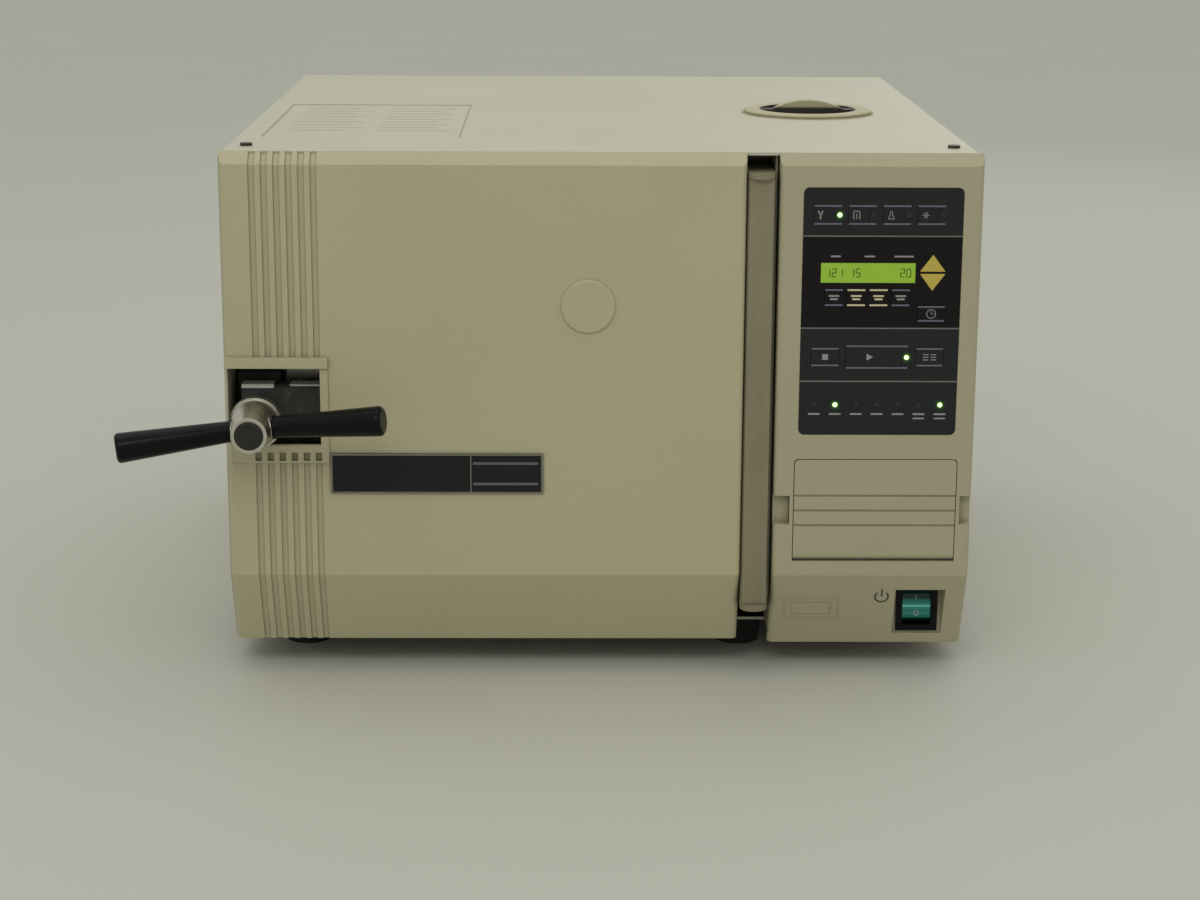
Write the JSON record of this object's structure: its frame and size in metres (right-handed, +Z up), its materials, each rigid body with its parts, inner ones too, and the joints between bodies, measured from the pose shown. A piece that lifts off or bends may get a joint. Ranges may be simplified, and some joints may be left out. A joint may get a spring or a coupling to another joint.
{
  "type": "benchtop autoclave",
  "caption": "Benchtop steam autoclave: ivory casing, side-hinged door with grooves and a tee handle on its closing screw, key panel with display, drop-down flap, rocker and filler cap.",
  "frame": {"origin": "centre of the machine's outline on the bench, at the underside of its feet", "axes": "+X right across the front, +Y towards the back, +Z up"},
  "size_m": [0.5788, 0.6032, 0.3748],
  "materials": {
    "casing_enamel": "fine-textured ivory enamel",
    "ivory_moulding": "fine-textured ivory moulding",
    "zinc_sheet": "zinc-plated sheet",
    "vessel_steel": "brushed stainless steel",
    "bridge_iron": "grey casting",
    "turned_steel": "satin chrome",
    "black_moulding": "glossy black moulding",
    "felt": "pressed felt",
    "rubber": "matt black rubber",
    "silicone": "off-white silicone",
    "brass": "machined brass",
    "tank_plastic": "translucent white moulding",
    "circuit": "green circuit board",
    "overlay": "dark slate membrane",
    "key_dark": "dark slate membrane key",
    "key_yellow": "yellow membrane key",
    "display": "lit yellow-green display",
    "lamp": "green lamp lens",
    "rocker": "translucent green rocker"
  },
  "bodies": {
    "root": {"outer_casing": "casing_enamel", "front_frame": "casing_enamel", "panel_housing": "ivory_moulding", "filler_collar": "ivory_moulding", "base_chassis": "zinc_sheet", "rear_panel": "zinc_sheet", "hinge_brackets": "zinc_sheet", "chamber": "vessel_steel", "tray_rack": "vessel_steel", "tray_lower": "vessel_steel", "tray_middle": "vessel_steel", "tray_upper": "vessel_steel", "heating_element": "vessel_steel", "keeper_block": "bridge_iron", "hinge_pins": "turned_steel", "casing_screws": "turned_steel", "switch_bezel": "black_moulding", "power_inlet": "black_moulding", "insulation_jacket": "felt", "feet": "rubber", "safety_valve": "brass", "solenoid_valves": "brass", "pipework": "brass", "reservoir_tank": "tank_plastic", "printer_bay": "tank_plastic", "control_board": "circuit", "power_board": "circuit", "membrane_overlay": "overlay", "display_module": "display", "indicator_leds": "lamp"},
    "door": {"door_cover": "ivory_moulding", "door_bridge": "bridge_iron", "door_lid": "vessel_steel", "door_gasket": "silicone", "hinge_post": "casing_enamel", "nameplate": "black_moulding", "cover_plug": "ivory_moulding"},
    "screw_carrier": {"thrust_collar": "turned_steel"},
    "handle": {"draw_screw": "turned_steel", "tee_hub": "turned_steel", "tee_grips": "black_moulding", "hub_cap": "black_moulding"},
    "rocker": {"switch_rocker": "rocker"},
    "flap": {"bay_flap": "ivory_moulding"},
    "filler_cap": {"reservoir_cap": "ivory_moulding"},
    "relief_ring": {"valve_ring": "turned_steel"},
    "key_program_1_cap": {"key_program_1": "key_dark"},
    "key_program_2_cap": {"key_program_2": "key_dark"},
    "key_program_3_cap": {"key_program_3": "key_dark"},
    "key_program_4_cap": {"key_program_4": "key_dark"},
    "key_set_1_cap": {"key_set_1": "key_dark"},
    "key_set_2_cap": {"key_set_2": "key_dark"},
    "key_set_3_cap": {"key_set_3": "key_dark"},
    "key_set_4_cap": {"key_set_4": "key_dark"},
    "key_clock_cap": {"key_clock": "key_dark"},
    "key_stop_cap": {"key_stop": "key_dark"},
    "key_start_cap": {"key_start": "key_dark"},
    "key_dry_cap": {"key_dry": "key_dark"},
    "key_up_cap": {"key_up": "key_yellow"},
    "key_down_cap": {"key_down": "key_yellow"}
  },
  "joints": [
    {"name": "door_hinge", "type": "hinge", "parent": "root", "child": "door", "pos_m": [0.13956, -0.23738, 0.2], "axis": [0, 0, 1], "range_deg": [0, 105]},
    {"name": "screw_advance", "type": "slide", "parent": "door", "child": "screw_carrier", "axis": [0, 1, 0], "range_m": [0, 0.00801]},
    {"name": "handle_turn", "type": "hinge", "parent": "screw_carrier", "child": "handle", "pos_m": [-0.19914, -0.27338, 0.185], "axis": [0, 1, 0], "range_deg": [0, 720]},
    {"name": "rocker_tilt", "type": "hinge", "parent": "root", "child": "rocker", "pos_m": [0.25582, -0.20938, 0.0443], "axis": [1, 0, 0], "range_deg": [0, 18]},
    {"name": "flap_drop", "type": "hinge", "parent": "root", "child": "flap", "pos_m": [0.22107, -0.23888, 0.0893], "axis": [1, 0, 0], "range_deg": [0, 85]},
    {"name": "cap_lift", "type": "slide", "parent": "root", "child": "filler_cap", "axis": [0, 0, 1], "range_m": [0, 0.06]},
    {"name": "relief_pull", "type": "slide", "parent": "root", "child": "relief_ring", "axis": [0, 1, 0], "range_m": [0, 0.003], "stiffness_N_per_m": 300},
    {"name": "key_program_1_press", "type": "slide", "parent": "root", "child": "key_program_1_cap", "axis": [0, 1, 0], "range_m": [0, 0.0005], "stiffness_N_per_m": 200},
    {"name": "key_program_2_press", "type": "slide", "parent": "root", "child": "key_program_2_cap", "axis": [0, 1, 0], "range_m": [0, 0.0005], "stiffness_N_per_m": 200},
    {"name": "key_program_3_press", "type": "slide", "parent": "root", "child": "key_program_3_cap", "axis": [0, 1, 0], "range_m": [0, 0.0005], "stiffness_N_per_m": 200},
    {"name": "key_program_4_press", "type": "slide", "parent": "root", "child": "key_program_4_cap", "axis": [0, 1, 0], "range_m": [0, 0.0005], "stiffness_N_per_m": 200},
    {"name": "key_set_1_press", "type": "slide", "parent": "root", "child": "key_set_1_cap", "axis": [0, 1, 0], "range_m": [0, 0.0005], "stiffness_N_per_m": 200},
    {"name": "key_set_2_press", "type": "slide", "parent": "root", "child": "key_set_2_cap", "axis": [0, 1, 0], "range_m": [0, 0.0005], "stiffness_N_per_m": 200},
    {"name": "key_set_3_press", "type": "slide", "parent": "root", "child": "key_set_3_cap", "axis": [0, 1, 0], "range_m": [0, 0.0005], "stiffness_N_per_m": 200},
    {"name": "key_set_4_press", "type": "slide", "parent": "root", "child": "key_set_4_cap", "axis": [0, 1, 0], "range_m": [0, 0.0005], "stiffness_N_per_m": 200},
    {"name": "key_clock_press", "type": "slide", "parent": "root", "child": "key_clock_cap", "axis": [0, 1, 0], "range_m": [0, 0.0005], "stiffness_N_per_m": 200},
    {"name": "key_stop_press", "type": "slide", "parent": "root", "child": "key_stop_cap", "axis": [0, 1, 0], "range_m": [0, 0.0005], "stiffness_N_per_m": 200},
    {"name": "key_start_press", "type": "slide", "parent": "root", "child": "key_start_cap", "axis": [0, 1, 0], "range_m": [0, 0.0005], "stiffness_N_per_m": 200},
    {"name": "key_dry_press", "type": "slide", "parent": "root", "child": "key_dry_cap", "axis": [0, 1, 0], "range_m": [0, 0.0005], "stiffness_N_per_m": 200},
    {"name": "key_up_press", "type": "slide", "parent": "root", "child": "key_up_cap", "axis": [0, 1, 0], "range_m": [0, 0.0005], "stiffness_N_per_m": 200},
    {"name": "key_down_press", "type": "slide", "parent": "root", "child": "key_down_cap", "axis": [0, 1, 0], "range_m": [0, 0.0005], "stiffness_N_per_m": 200}
  ],
  "couplings": [
    {"joint": "screw_advance", "follows": "handle_turn", "m_per_rad": 0.00063662}
  ]
}
